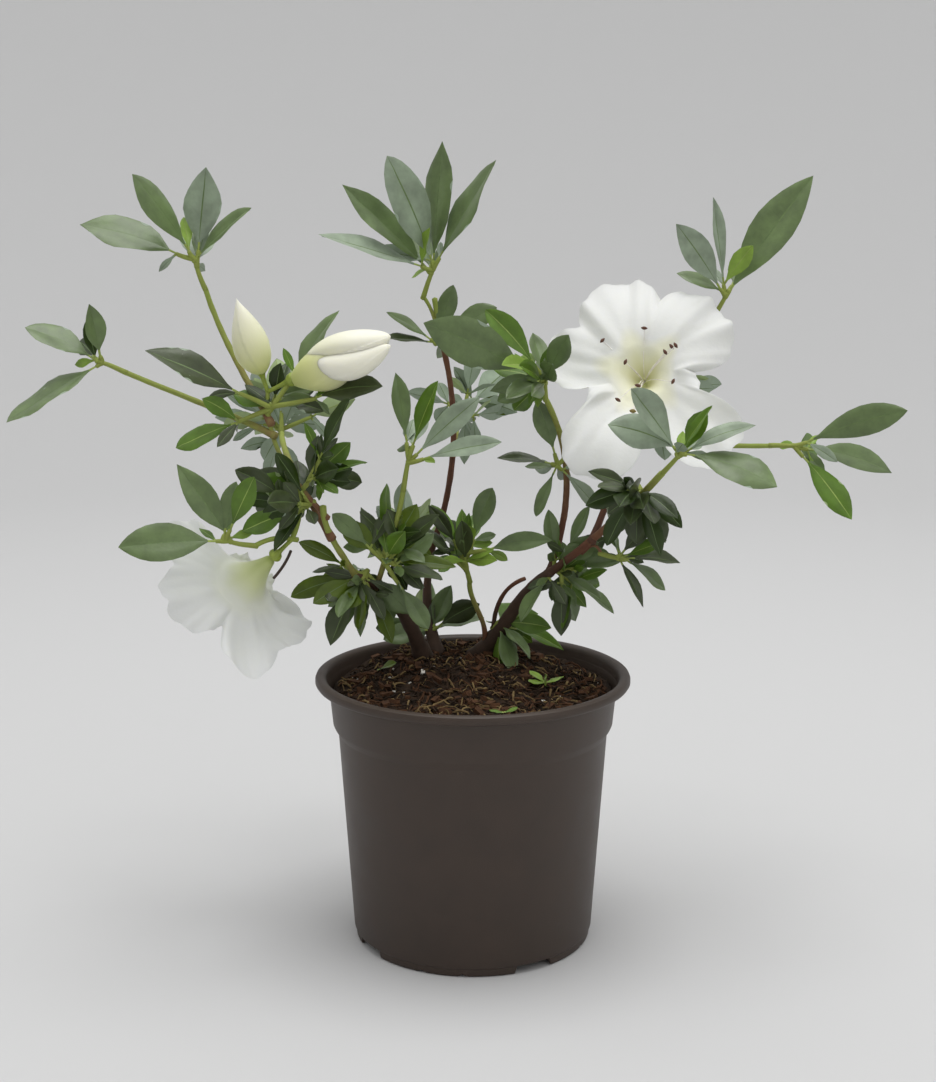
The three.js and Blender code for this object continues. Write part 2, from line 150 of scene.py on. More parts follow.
# a shape is its points, its faces as pairs (corner numbers, finish number), and values at its points
def joined(shapes):
    start = 0
    whole = {"points": [], "faces": [], "values": {}}
    for shape in shapes:
        whole["points"].append(shape["points"])
        whole["faces"] += [(corners + start, number) for corners, number in shape["faces"]]
        for key, value in shape.get("values", {}).items():
            whole["values"].setdefault(key, []).append(value)
        start += len(shape["points"])
    whole["points"] = np.concatenate(whole["points"])
    whole["values"] = {key: np.concatenate(parts) for key, parts in whole["values"].items()}
    return whole


def addPiece(name, shape, finishes, slot=None, replaced=(), sharpAngle=None):
    mesh = bpy.data.meshes.new(name)
    corners = np.concatenate([faces.ravel() for faces, _ in shape["faces"]])
    sizes = np.concatenate([np.full(len(faces), faces.shape[1]) for faces, _ in shape["faces"]])
    numbers = np.concatenate([np.broadcast_to(number, len(faces)) for faces, number in shape["faces"]])
    mesh.vertices.add(len(shape["points"]))
    mesh.vertices.foreach_set("co", (shape["points"] * metresPerMm).astype(np.float32).ravel())
    mesh.loops.add(len(corners))
    mesh.loops.foreach_set("vertex_index", corners.astype(np.int32))
    mesh.polygons.add(len(sizes))
    mesh.polygons.foreach_set("loop_start", np.concatenate([[0], np.cumsum(sizes)[:-1]]).astype(np.int32))
    mesh.polygons.foreach_set("material_index", numbers.astype(np.int32))
    mesh.update(calc_edges=True)
    mesh.validate()
    mesh.shade_smooth()
    if sharpAngle:
        mesh.set_sharp_from_angle(angle=np.radians(sharpAngle))
    for key, value in shape.get("values", {}).items():
        mesh.attributes.new(key, "FLOAT", "POINT").data.foreach_set("value", value.astype(np.float32))
    for material in finishes:
        mesh.materials.append(material)
    piece = bpy.data.objects.new(name, mesh)
    bpy.context.scene.collection.objects.link(piece)
    if slot:
        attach(piece, "root")
    for node in replaced:
        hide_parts(node)
    print(name, len(sizes), "faces")
    return piece


# rings (rows, columns, 3) joined into one skin, with a pole beyond the first and the last ring
def ringed(rings, first, last, number=0):
    rows, columns = rings.shape[:2]
    around = np.arange(columns)
    after = (around + 1) % columns
    end = (rows - 1) * columns
    poles = np.full(columns, rows * columns)
    return {"points": np.concatenate([rings.reshape(-1, 3), [first, last]]),
            "faces": [(gridFaces(rows, columns, True), number),
                      (np.stack([poles, after, around], -1), number),
                      (np.stack([poles + 1, end + around, end + after], -1), number)]}


# a profile of (radius, height) turned round the upright axis: x = r cos a, y = r sin a, from pole to pole
def lathe(profile, sides, shaped=None):
    profile = np.array(profile, float)
    radius = np.repeat(profile[1:-1, :1], sides, 1)
    height = np.repeat(profile[1:-1, 1:], sides, 1)
    angle = np.arange(sides) * 2 * np.pi / sides
    if shaped:
        radius, height = shaped(radius, height, np.broadcast_to(angle, radius.shape))
    rings = np.stack([radius * np.cos(angle), radius * np.sin(angle), height], -1)
    return ringed(rings, [0, 0, profile[0, 1]], [0, 0, profile[-1, 1]])


# tubes along lines (count, rows, 3): point = line + radius (cos a u + sin a v), with u and v square to the
# line, closed at each end by a point half a radius further out; lift scales the radius by row and side
def tubes(lines, radii, sides, number=0, lift=1.0):
    count, rows = lines.shape[:2]
    along = unit(np.gradient(lines, axis=1))
    guide = np.eye(3)[np.abs(along.mean(1)).argmin(-1)][:, None]
    across = unit(np.cross(guide, along))
    over = np.cross(along, across)
    angle = np.arange(sides) * 2 * np.pi / sides
    spoke = np.cos(angle)[:, None] * across[:, :, None] + np.sin(angle)[:, None] * over[:, :, None]
    ring = lines[:, :, None] + (radii[:, :, None] * lift)[..., None] * spoke
    firstEnds = lines[:, 0] - along[:, 0] * radii[:, :1] / 2
    lastEnds = lines[:, -1] + along[:, -1] * radii[:, -1:] / 2
    ends = np.stack([firstEnds, lastEnds], 1)
    points = np.concatenate([ring.reshape(count, -1, 3), ends], 1)
    around = np.arange(sides)
    after = (around + 1) % sides
    last = (rows - 1) * sides
    first = np.stack([np.full(sides, rows * sides), after, around], -1)
    final = np.stack([np.full(sides, rows * sides + 1), last + around, last + after], -1)
    offsets = (np.arange(count) * points.shape[1])[:, None, None]
    faces = [((corners + offsets).reshape(-1, corners.shape[1]), number)
             for corners in (gridFaces(rows, sides, True), first, final)]
    return {"points": points.reshape(-1, 3), "faces": faces}


def nodePoints(name):
    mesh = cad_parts[name].data
    points = np.empty(len(mesh.vertices) * 3, np.float32)
    mesh.vertices.foreach_get("co", points)
    return points.reshape(-1, 3).astype(float) / metresPerMm


# Camera, room and light.

view = {
    "place": (-2, -695, 304),
    "pitch": 78.9,  # degrees up from straight down
    "lens": 57.8,
    "room": {"floorRadius": 1150, "wallRadius": 2500, "wallHeight": 2100},
    # the board is even up to 1 m and darker towards 2 m: painted shade at the top of the backdrop
    "board": [(0, "#cdcdcd"), (0.5, "#cdcdcd"), (1, "#afafaf")],  # from the floor to 2 m up
    "keyPower": 15,
    "keySize": 1.2,
    "keyPlace": (0.1, 0.0, 1.75),
    "fillPower": 3,
    "fillSize": 1.6,
    "fillPlace": (1.3, -1.2, 0.9),
    "lightsAimAt": (0, 0, 0.2),
    "air": 0.8,
}


# a floor that sweeps up into a wall, with a = 0..90: radius = floor + (wall - floor) sin a, and
# height = 0.8 of the wall's height times (1 - cos a)
def makeRoom(room):
    turn = np.linspace(0, np.pi / 2, 30)
    radius = room["floorRadius"] + (room["wallRadius"] - room["floorRadius"]) * np.sin(turn)
    height = room["wallHeight"] * (1 - np.cos(turn)) * 0.8
    shape = lathe([(0, 0), (room["floorRadius"] / 2, 0), *zip(radius, height), (0, height[-1] * 1.5)], 96)
    shape["faces"] = [(corners[:, ::-1], number) for corners, number in shape["faces"][:2]]  # open above

    # the board's colour by height, darker towards the top: painted shade
    def paint(tree):
        place = addNode(tree, "ShaderNodeTexCoord").outputs["Object"]
        rise = addNode(tree, "ShaderNodeSeparateXYZ", None, {"Vector": place}).outputs["Z"]
        share = addNode(tree, "ShaderNodeMapRange", None, {"Value": rise, "From Max": 2.0}).outputs[0]
        return {"Base Color": addRamp(tree, share, view["board"]).outputs["Color"]}
    addPiece("room", shape, [finish("matt board with painted shade above", {"Roughness": 0.9}, paint)])


def makeView():
    camera = bpy.data.cameras.new("camera")
    camera.lens = view["lens"]
    camera.sensor_width = 36
    camera.clip_start = 0.01
    holder = bpy.data.objects.new("camera", camera)
    holder.location = [value * metresPerMm for value in view["place"]]
    holder.rotation_euler = (np.radians(view["pitch"]), 0, 0)
    bpy.context.scene.collection.objects.link(holder)
    bpy.context.scene.camera = holder
    for name, power, size, place in (
            ("key", view["keyPower"], view["keySize"], view["keyPlace"]),
            ("fill", view["fillPower"], view["fillSize"], view["fillPlace"])):
        light = bpy.data.lights.new(name, "AREA")
        light.shape = "DISK"
        light.size = size
        light.energy = power
        lamp = bpy.data.objects.new(name, light)
        lamp.location = place
        aim = Vector(view["lightsAimAt"]) - Vector(place)
        lamp.rotation_euler = aim.to_track_quat("-Z", "Y").to_euler()
        bpy.context.scene.collection.objects.link(lamp)
    world = bpy.data.worlds.new("air")
    world.use_nodes = True
    world.node_tree.nodes["Background"].inputs["Color"].default_value = (1, 1, 1, 1)
    world.node_tree.nodes["Background"].inputs["Strength"].default_value = view["air"]
    bpy.context.scene.world = world
    bpy.context.scene.view_settings.view_transform = "Standard"


makeRoom(view["room"])
makeView()
print("room, lights and camera are in place")


# Pot.

pot = {
    "sides": 288,
    "notch": {"count": 4, "first": 30, "width": 17, "depth": 7, "height": 4},
    "nick": {"offsets": (35, 55), "width": 2.6, "depth": 3, "height": 1.4},
    "footRing": (49.3, 49.6), "footTop": 4.4,  # the radii and height that notches and nicks are cut in
    "colour": ("#372b22", "#3e3128"),
}


# thin injection-moulded polypropylene: dark brown with a soft sheen, a little dusty, with faint turning marks
def potFinish():
    def paint(tree):
        cloud = noiseOf(tree, 14, 3)
        grain = noiseOf(tree, 0.5, 1)
        rings = noiseOf(tree, 9, 2, 0.5, (0.02, 0.02, 6))
        rough = addNode(tree, "ShaderNodeMapRange", None, {"Value": cloud, "To Min": 0.42, "To Max": 0.58})
        height = addNode(tree, "ShaderNodeMath", {"operation": "ADD"}, {0: grain, 1: rings})
        return {"Base Color": mixOf(tree, cloud, *pot["colour"]), "Roughness": rough.outputs[0],
                "Normal": bumpOf(tree, height.outputs[0], 0.25, 0.12)}
    return finish("moulded brown polypropylene", {"IOR": 1.49}, paint)


def makePot():
    notch, nick = pot["notch"], pot["nick"]

    # the foot ring is lifted over each notch, with sloping ends, and over each small nick
    def shaped(radius, height, angle):
        for part, offsets in ((notch, (0,)), (nick, nick["offsets"])):
            for offset in offsets:
                quarter = np.radians(notch["first"] + offset)
                away = (angle - quarter + np.pi / 4) % (np.pi / 2) - np.pi / 4
                reach = (part["width"] / 2 - np.abs(away) * radius) / 0.5
                inner, outer = pot["footRing"]
                inRing = (radius > inner - part["depth"]) & (radius < outer) & (height < pot["footTop"])
                opening = np.clip(reach, 0, 1) * part["height"]
                height = np.where(inRing, np.maximum(height, np.minimum(opening, pot["footTop"])), height)
        return radius, height

    profile = [
        (0, 0), (20, 0), (42, 0), (42.4, 0), (47.8, 0), (48.8, 0.2), (49.2, 0.7), (49.3, 3.2),
        (49.7, 3.6), (50.1, 4.5), (55.7, 88.2), (55.9, 88.7), (57.3, 91), (57.9, 92.4), (59.4, 107.4),
        (59.8, 108.1), (61, 108.4), (63.4, 108.5), (64.4, 108.9), (65, 109.8), (65, 111), (64.6, 112),
        (63.7, 112.5), (62.3, 112.6), (61.2, 112.2), (60.5, 111.3), (60.1, 110), (56.3, 92), (54.4, 88),
        (49, 8), (48, 5), (0, 5),
    ]
    shape = lathe(profile, pot["sides"], shaped)
    addPiece("pot_shell", shape, [potFinish()], "pot", ["pot"], 38)


makePot()

# Soil.

soil = {
    "sides": 120,
    "rings": 44,
    "radius": 57.6,
    "edgeZ": 105, "moundHeight": 7, "moundPlace": (-7, 29), "moundReach": 34,
    "fibres": 1500, "chips": 260, "crumbs": 700, "grit": 40,
    "peat": ("#15100b", "#3d2c1e"),
    "barkChip": ("#2e1d13", "#5f4029"),
    "straw": ("#54412a", "#8f7a52"),
    "gritColour": ("#b7b2a6", "#ece9e2"),
    # (place), leaves, length, tone: a seedling in front of the right stem and two stray leaves
    "sprouts": [((30, -2), 5, 9, "young"), ((12, -40), 2, 6, "fresh"), ((-40, 12), 1, 11, "olive")],
}


# the mound's height: the edge height + a flattened bell over the mound's place + fine unevenness
def soilHeight(x, y):
    away = np.hypot(x - soil["moundPlace"][0], y - soil["moundPlace"][1]) / soil["moundReach"]
    mound = np.minimum(1, 1.7 * np.exp(-away ** 2))
    flat = np.stack([x, y, 0 * x], -1)
    crumbs = 0.9 * ripple(flat, 11, 5) + 0.6 * ripple(flat, 4.2, 6) + 0.35 * ripple(flat, 2.1, 7)
    return soil["edgeZ"] + soil["moundHeight"] * mound + crumbs - 0.6


# peat, bark and straw are dry and rough: the colour shifts from fibre to fibre and nothing shines
def soilFinish(name, colours, sizeMm):
    def paint(tree):
        patches = noiseOf(tree, sizeMm, 4, 0.65)
        return {"Base Color": mixOf(tree, patches, *colours),
                "Normal": bumpOf(tree, noiseOf(tree, 0.7, 3), 0.7, 0.5)}
    return finish(name, {"Roughness": 0.92, "Specular IOR Level": 0.25}, paint)


def scattered(random, count, most):
    radius = most * np.sqrt(random.uniform(0, 1, count))
    angle = random.uniform(0, 2 * np.pi, count)
    return radius * np.cos(angle), radius * np.sin(angle)


def makeSoil():
    random = np.random.default_rng(31)
    share = np.linspace(0, 1, soil["rings"] + 1)[1:]
    profile = [(0, 0)] + [(soil["radius"] * value, 0) for value in share]
    under = [(soil["radius"] * 0.985, -9), (soil["radius"] * 0.5, -10), (0, soil["edgeZ"] - 10)]

    def shaped(radius, height, angle):
        top = soilHeight(radius * np.cos(angle), radius * np.sin(angle))
        return radius, np.where(height == 0, top, soil["edgeZ"] + height)

    surface = lathe(profile + under, soil["sides"], shaped)
    surface["points"][-2, 2] = soilHeight(np.zeros(1), np.zeros(1))[0]
    surface["faces"] = [(corners[:, ::-1], number) for corners, number in surface["faces"]]

    # fibres: thin tubes that lie on the surface, bent in plan and arched a little
    count = soil["fibres"]
    x, y = scattered(random, count, soil["radius"] - 3)
    turn, bend = random.uniform(0, 2 * np.pi, count), random.normal(0, 0.9, count)
    length = random.uniform(3, 12, count)
    steps = np.linspace(-0.5, 0.5, 6)
    angle = turn[:, None] + bend[:, None] * steps
    plan = np.cumsum(np.stack([np.cos(angle), np.sin(angle)], -1) * length[:, None, None] / 6, 1)
    plan += np.stack([x, y], -1)[:, None] - plan.mean(1, keepdims=True)
    spread = np.linalg.norm(plan, axis=-1, keepdims=True)
    plan *= np.minimum(1, (soil["radius"] - 1.5) / spread)
    lift = random.uniform(-0.2, 0.9, (count, 1)) + random.uniform(0, 1.6, (count, 1)) * (1 - (2 * steps) ** 2)
    lines = np.concatenate([plan, (soilHeight(plan[..., 0], plan[..., 1]) + lift)[..., None]], -1)
    thickness = random.uniform(0.16, 0.5, count)[:, None] * (1.15 - np.abs(steps))
    kinds = random.choice([0, 1, 2], count, p=[0.55, 0.25, 0.2])
    fibres = [tubes(lines[kinds == kind], thickness[kinds == kind], 5, number)
              for kind, number in ((0, 0), (1, 1), (2, 2))]

    # chips and grit: eight-cornered lumps, each squashed, turned and knocked out of true
    def lumps(amount, sizes, number, sunk, most):
        x, y = scattered(random, amount, most)
        size = random.uniform(*sizes, (amount, 1)) * random.uniform(0.35, 1, (amount, 3)) * [1, 0.7, 0.4]
        corners = np.array([[i, j, k] for k in (-1, 1) for j in (-1, 1) for i in (-1, 1)], float)
        corners = corners * random.uniform(0.6, 1.1, (amount, 8, 3)) * size[:, None]
        turn = random.uniform(0, 2 * np.pi, amount)
        tilt = random.normal(0, 0.35, amount)
        cosTilt, sinTilt = np.cos(tilt)[:, None], np.sin(tilt)[:, None]
        tipped = np.stack([corners[..., 0] * cosTilt - corners[..., 2] * sinTilt, corners[..., 1],
                           corners[..., 0] * sinTilt + corners[..., 2] * cosTilt], -1)
        cosTurn, sinTurn = np.cos(turn)[:, None], np.sin(turn)[:, None]
        points = np.stack([tipped[..., 0] * cosTurn - tipped[..., 1] * sinTurn,
                           tipped[..., 0] * sinTurn + tipped[..., 1] * cosTurn, tipped[..., 2]], -1)
        points += np.stack([x, y, soilHeight(x, y) + sunk * size[:, 2]], -1)[:, None]
        box = np.array([[0, 2, 3, 1], [4, 5, 7, 6], [0, 1, 5, 4], [2, 6, 7, 3], [0, 4, 6, 2], [1, 3, 7, 5]])
        faces = (box + 8 * np.arange(amount)[:, None, None]).reshape(-1, 4)
        return {"points": points.reshape(-1, 3), "faces": [(faces, number)]}

    chips = lumps(soil["chips"], (1.2, 4.2), 1, 0.5, soil["radius"] - 4)
    crumbs = lumps(soil["crumbs"], (0.5, 1.5), 0, 0.4, soil["radius"] - 2)
    grit = lumps(soil["grit"], (0.7, 1.5), 3, 0.8, soil["radius"] - 3)
    finishes = [soilFinish("peat fibre", soil["peat"], 5), soilFinish("bark chip", soil["barkChip"], 4),
                soilFinish("dry straw", soil["straw"], 6), soilFinish("white grit", soil["gritColour"], 2)]
    addPiece("soil_bed", surface, finishes[:1], "soil", ["soil"])
    addPiece("soil_litter", joined([*fibres, chips, crumbs, grit]), finishes, "soil", ["soil"], 40)


makeSoil()

# Stems and boughs.

# each limb with the limb that carries it, and its age at its root and its tip: 1 is old wood, 0 a shoot
carriedBy = {
    "stem_left": (None, 0.95, 0.75), "stem_right": (None, 0.95, 0.8), "stem_middle": (None, 0.9, 0.72),
    "bough_left": ("stem_left", 0.3, 0.1), "bough_buds": ("bough_left", 0.48, 0.05),
    "bough_far_left": ("bough_buds", 0.3, 0.08), "bough_top_left": ("bough_buds", 0.42, 0.05),
    "bough_low_left": ("bough_buds", 0.1, 0.03), "bough_left_bloom": ("bough_low_left", 0.06, 0.03),
    "bough_back_left": ("bough_left", 0.5, 0.1), "bough_centre": ("stem_left", 0.35, 0.04),
    "bough_middle": ("stem_middle", 0.72, 0.52), "bough_top_centre": ("bough_middle", 0.3, 0.06),
    "bough_top_side": ("bough_middle", 0.35, 0.1), "bough_back_low": ("stem_middle", 0.6, 0.2),
    "bough_back_centre": ("bough_middle", 0.5, 0.1), "stem_right_thin": ("stem_right", 0.85, 0.55),
    "bough_right_front": ("stem_right", 0.78, 0.15), "bough_right_side": ("bough_right_front", 0.65, 0.4),
    "bough_big_leaf": ("stem_right", 0.75, 0.12), "bough_bloom": ("bough_right_front", 0.7, 0.3),
    "bough_low_centre": ("stem_right", 0.5, 0.12), "bough_right_end": ("bough_bloom", 0.2, 0.03),
    "bough_top_right": ("bough_bloom", 0.2, 0.05), "bough_back_right": ("bough_bloom", 0.5, 0.1),
}
bark = {
    "sides": 14,
    "step": 1.3,
    "fullness": 1.05,  # the solid's flat facets lie inside the true round
    "thinner": {"bough_buds": 0.62, "bough_left": 0.8, "bough_low_left": 0.9, "bough_centre": 0.9},
    "flare": 0.45, "flareReach": 0.16,
    "rootInset": 2.2,
    "relief": 0.07,
    "shades": [(0, "#8f9f4a"), (0.2, "#8a9147"), (0.42, "#7c5a40"), (0.6, "#65402f"),
               (0.8, "#49362a"), (1, "#392c22")],
}


# a limb's centre line and radius from its solid: the corners' places fitted by a polynomial of the distance
# along their longest direction, and the radius by a straight line of the same distance
def limbLine(name):
    corners = np.unique(np.round(nodePoints(name), 3), axis=0)
    middle = corners.mean(0)
    along = (corners - middle) @ np.linalg.svd(corners - middle)[2][0]
    extent = along.max() - along.min()
    degree = 3 if extent > 28 else 2
    fit = np.polyfit(along, corners, degree)
    steps = np.linspace(along.min(), along.max(), int(extent / bark["step"]) + 2)
    centre = lambda t: np.stack([np.polyval(fit[:, axis], t) for axis in range(3)], -1)
    width = np.linalg.norm(corners - centre(along), axis=1)
    return centre(steps), np.polyval(np.polyfit(along, width, 1), steps) * bark["fullness"]


def distanceTo(line, point):
    return np.linalg.norm(line - point, axis=1).min()


limbs = {}
for name, (parent, _, _) in carriedBy.items():
    line, radius = limbLine(name)
    upsideDown = line[0, 2] > line[-1, 2]
    if parent:
        upsideDown = distanceTo(limbs[parent]["line"], line[0]) > distanceTo(limbs[parent]["line"], line[-1])
    if upsideDown:
        line, radius = line[::-1], radius[::-1]
    radius = radius * bark["thinner"].get(name, 1)
    length = np.linalg.norm(np.diff(line, axis=0), axis=1).sum()
    limbs[name] = {"line": line, "radius": radius, "length": length}


# a point at a distance past a limb's end, straight on the way it ends; below 0 it lies back on the limb
def alongLimb(name, distance):
    line = limbs[name]["line"]
    heading = unit(line[-1] - line[-4])
    place = np.concatenate([[0], np.cumsum(np.linalg.norm(np.diff(line, axis=0), axis=1))])
    inside = np.stack([np.interp(place[-1] + distance, place, line[:, axis]) for axis in range(3)], -1)
    return inside + heading * max(distance, 0)


# dry fissured bark at the foot, smooth red-brown further up and green where the year's shoots start
def barkFinish():
    def paint(tree):
        age = addNode(tree, "ShaderNodeAttribute", {"attribute_name": "age"}).outputs["Fac"]
        cloud = noiseOf(tree, 3.5, 3, 0.6)
        uneven = addNode(tree, "ShaderNodeMath", {"operation": "MULTIPLY_ADD"}, {0: cloud, 1: 0.3, 2: -0.15})
        shifted = addNode(tree, "ShaderNodeMath", {"operation": "ADD"}, {0: uneven.outputs[0], 1: age})
        return {"Base Color": addRamp(tree, shifted.outputs[0], bark["shades"]).outputs["Color"],
                "Normal": bumpOf(tree, noiseOf(tree, 1.1, 4, 0.6), 0.5, 0.35)}
    return finish("thin azalea bark", {"Roughness": 0.75, "Specular IOR Level": 0.35}, paint)


def makeLimbs():
    parts = []
    for number, (name, limb) in enumerate(limbs.items()):
        line, radius = limb["line"], limb["radius"].copy()
        inset = bark["rootInset"]
        root = line[0] - unit(line[2] - line[0]) * inset
        line = np.concatenate([[root], line])
        radius = np.concatenate([[radius[0]], radius])
        share = np.linspace(0, 1, len(line))
        parent, rootAge, tipAge = carriedBy[name]
        if parent is None:
            radius = radius * (1 + bark["flare"] * np.exp(-share / bark["flareReach"]))
        else:
            radius = radius * (1 + 0.25 * np.exp(-share * limb["length"] / 3))
        sides = bark["sides"]
        angle = np.arange(sides) * 2 * np.pi / sides
        height = line[:, 2:3] * 0.35 + number * 9
        ridge = np.stack(np.broadcast_arrays(np.cos(angle) * 3, np.sin(angle) * 3, height), -1)
        rings = ripple(np.stack([share * limb["length"], 0 * share, 0 * share], -1), 6.5, 40 + number)
        lift = 1 + bark["relief"] * (ripple(ridge, 3.1, 60 + number) + 0.7 * rings[:, None])
        shape = tubes(line[None], radius[None], sides, 0, lift[None])
        grown = np.repeat(rootAge + (tipAge - rootAge) * share, sides)
        shape["values"] = {"age": np.concatenate([grown, grown[[0, -1]]])}
        parts.append(shape)
    addPiece("bark_limbs", joined(parts), [barkFinish()], "bark", list(carriedBy))


makeLimbs()

# Shoots and leaves. A mass grows from the limb nearest its middle by one seeded rule: a shoot runs to the
# middle, a twig turns off it towards each tip of the mass, the twig's end leaf reaches that tip, and a
# whorl of shorter leaves stands round the twig's end. No leaf goes much past the mass's skin, so the gaps
# between masses stay open.
crown = {
    "past": 4,  # how far a shoot goes on past a mass's middle
    # an open spray ends a shoot: its leaves leave from the shoot's last part on hardly any twig. A leafy
    # one stands within the crown or at its back: its twigs leave the shoot all along, with whorls, and
    # leaves between them
    "open": {"foot": (0.7, 1), "twigShare": (0.03, 0.18), "whorl": (0, 2),
             "whorlLength": (0.35, 0.7), "fill": 0},
    "leafy": {"foot": (0.3, 1), "twigShare": (0.12, 0.4), "whorl": (2, 3),
              "whorlLength": (0.6, 1), "fill": 4},
    "leafyMasses": ("buds pair inner_left low_core low_centre low_hanging right_low "
                    "back_left back_low back_centre back_right").split(),
    "endLeaf": (22, 58),
    "whorlSpread": (40, 85),  # degrees off the twig
    "goldenAngle": 137.5,
    "shortest": 9,  # of the leaves in a whorl
    "width": (0.3, 0.5), "widest": 19,
    "sag": (4, 30),  # degrees that a level leaf bends down from root to tip
    "lit": (0, 65),  # degrees from facing outwards to facing the sky
    # the tones of each spray: young where new growth stands in the light; a light grey-green on tops in the
    # light, which is painted sheen; deep and a dark grey-green within the crown, where the dark grey-green is
    # painted shade and the deep green is the leaves' own dark green deepened by painted shade
    "tones": {
        "far_left": "mature deep mature pale young", "top_left": "pale young pale mature",
        "buds": "mature fresh deep mature dull", "pair": "fresh deep dull",
        "inner_left": "dull deep dull fresh", "low_left": "young mature fresh mature",
        "low_hanging": "dull mature olive", "centre": "young pale pale fresh mature",
        "low_core": "dull olive fresh mature deep", "low_centre": "fresh young dull mature",
        "behind_bloom": "mature pale dull", "big_leaf": "mature young fresh",
        "right_low": "mature fresh dull mature", "right_side": "fresh mature dull",
        "right_hanging": "dull deep", "front": "mature pale fresh young",
        "right_end": "fresh mature pale young", "top_right": "pale young mature pale",
        "top_centre": "mature pale young mature", "middle": "dull mature",
        "base_right": "mature fresh", "base_centre": "mature dull olive",
    },
    "otherTones": "deep dull mature fresh mature olive",
}
leaf = {
    # shares along the blade after the stalk's root, and places across it: many for the large leaves that
    # stand out, few for the small ones that fill a spray
    "fine": ((0, 0.07, 0.17, 0.29, 0.42, 0.55, 0.67, 0.78, 0.88, 0.95, 1),
             (-1, -0.8, -0.42, -0.04, 0.04, 0.42, 0.8, 1)),
    "plain": ((0, 0.16, 0.36, 0.57, 0.76, 0.9, 1), (-1, -0.55, -0.05, 0.05, 0.55, 1)),
    "stalk": 3.4,
    "stalkHalfWidth": 0.5,
    "thickness": 0.34,
    "fill": (15, 30),  # lengths of the leaves between a leafy spray's twigs
    # colour, roughness and share of wax sheen; the last two are young
    "tones": {
        # the second tone is mature green darkened, painted shade; the fourth is mature green lightened and
        # greyed, painted sheen; the first is the leaves' own dark green deepened by painted shade
        "deep": ("#293b08", 0.42, 0.1), "dull": ("#3d4828", 0.4, 0.25), "mature": ("#607346", 0.4, 0.3),
        "pale": ("#87957f", 0.5, 0.2), "olive": ("#4c5f00", 0.42, 0.08), "fresh": ("#55741f", 0.42, 0.15),
        "young": ("#7d9a3a", 0.45, 0.15),
    },
    "under": ("#93a38d", "#9db07c"),
    "ribs": ("#5f7443", "#8ba04c"),
    "stalkColour": "#8d9c4a",
}
toneNames = list(leaf["tones"])


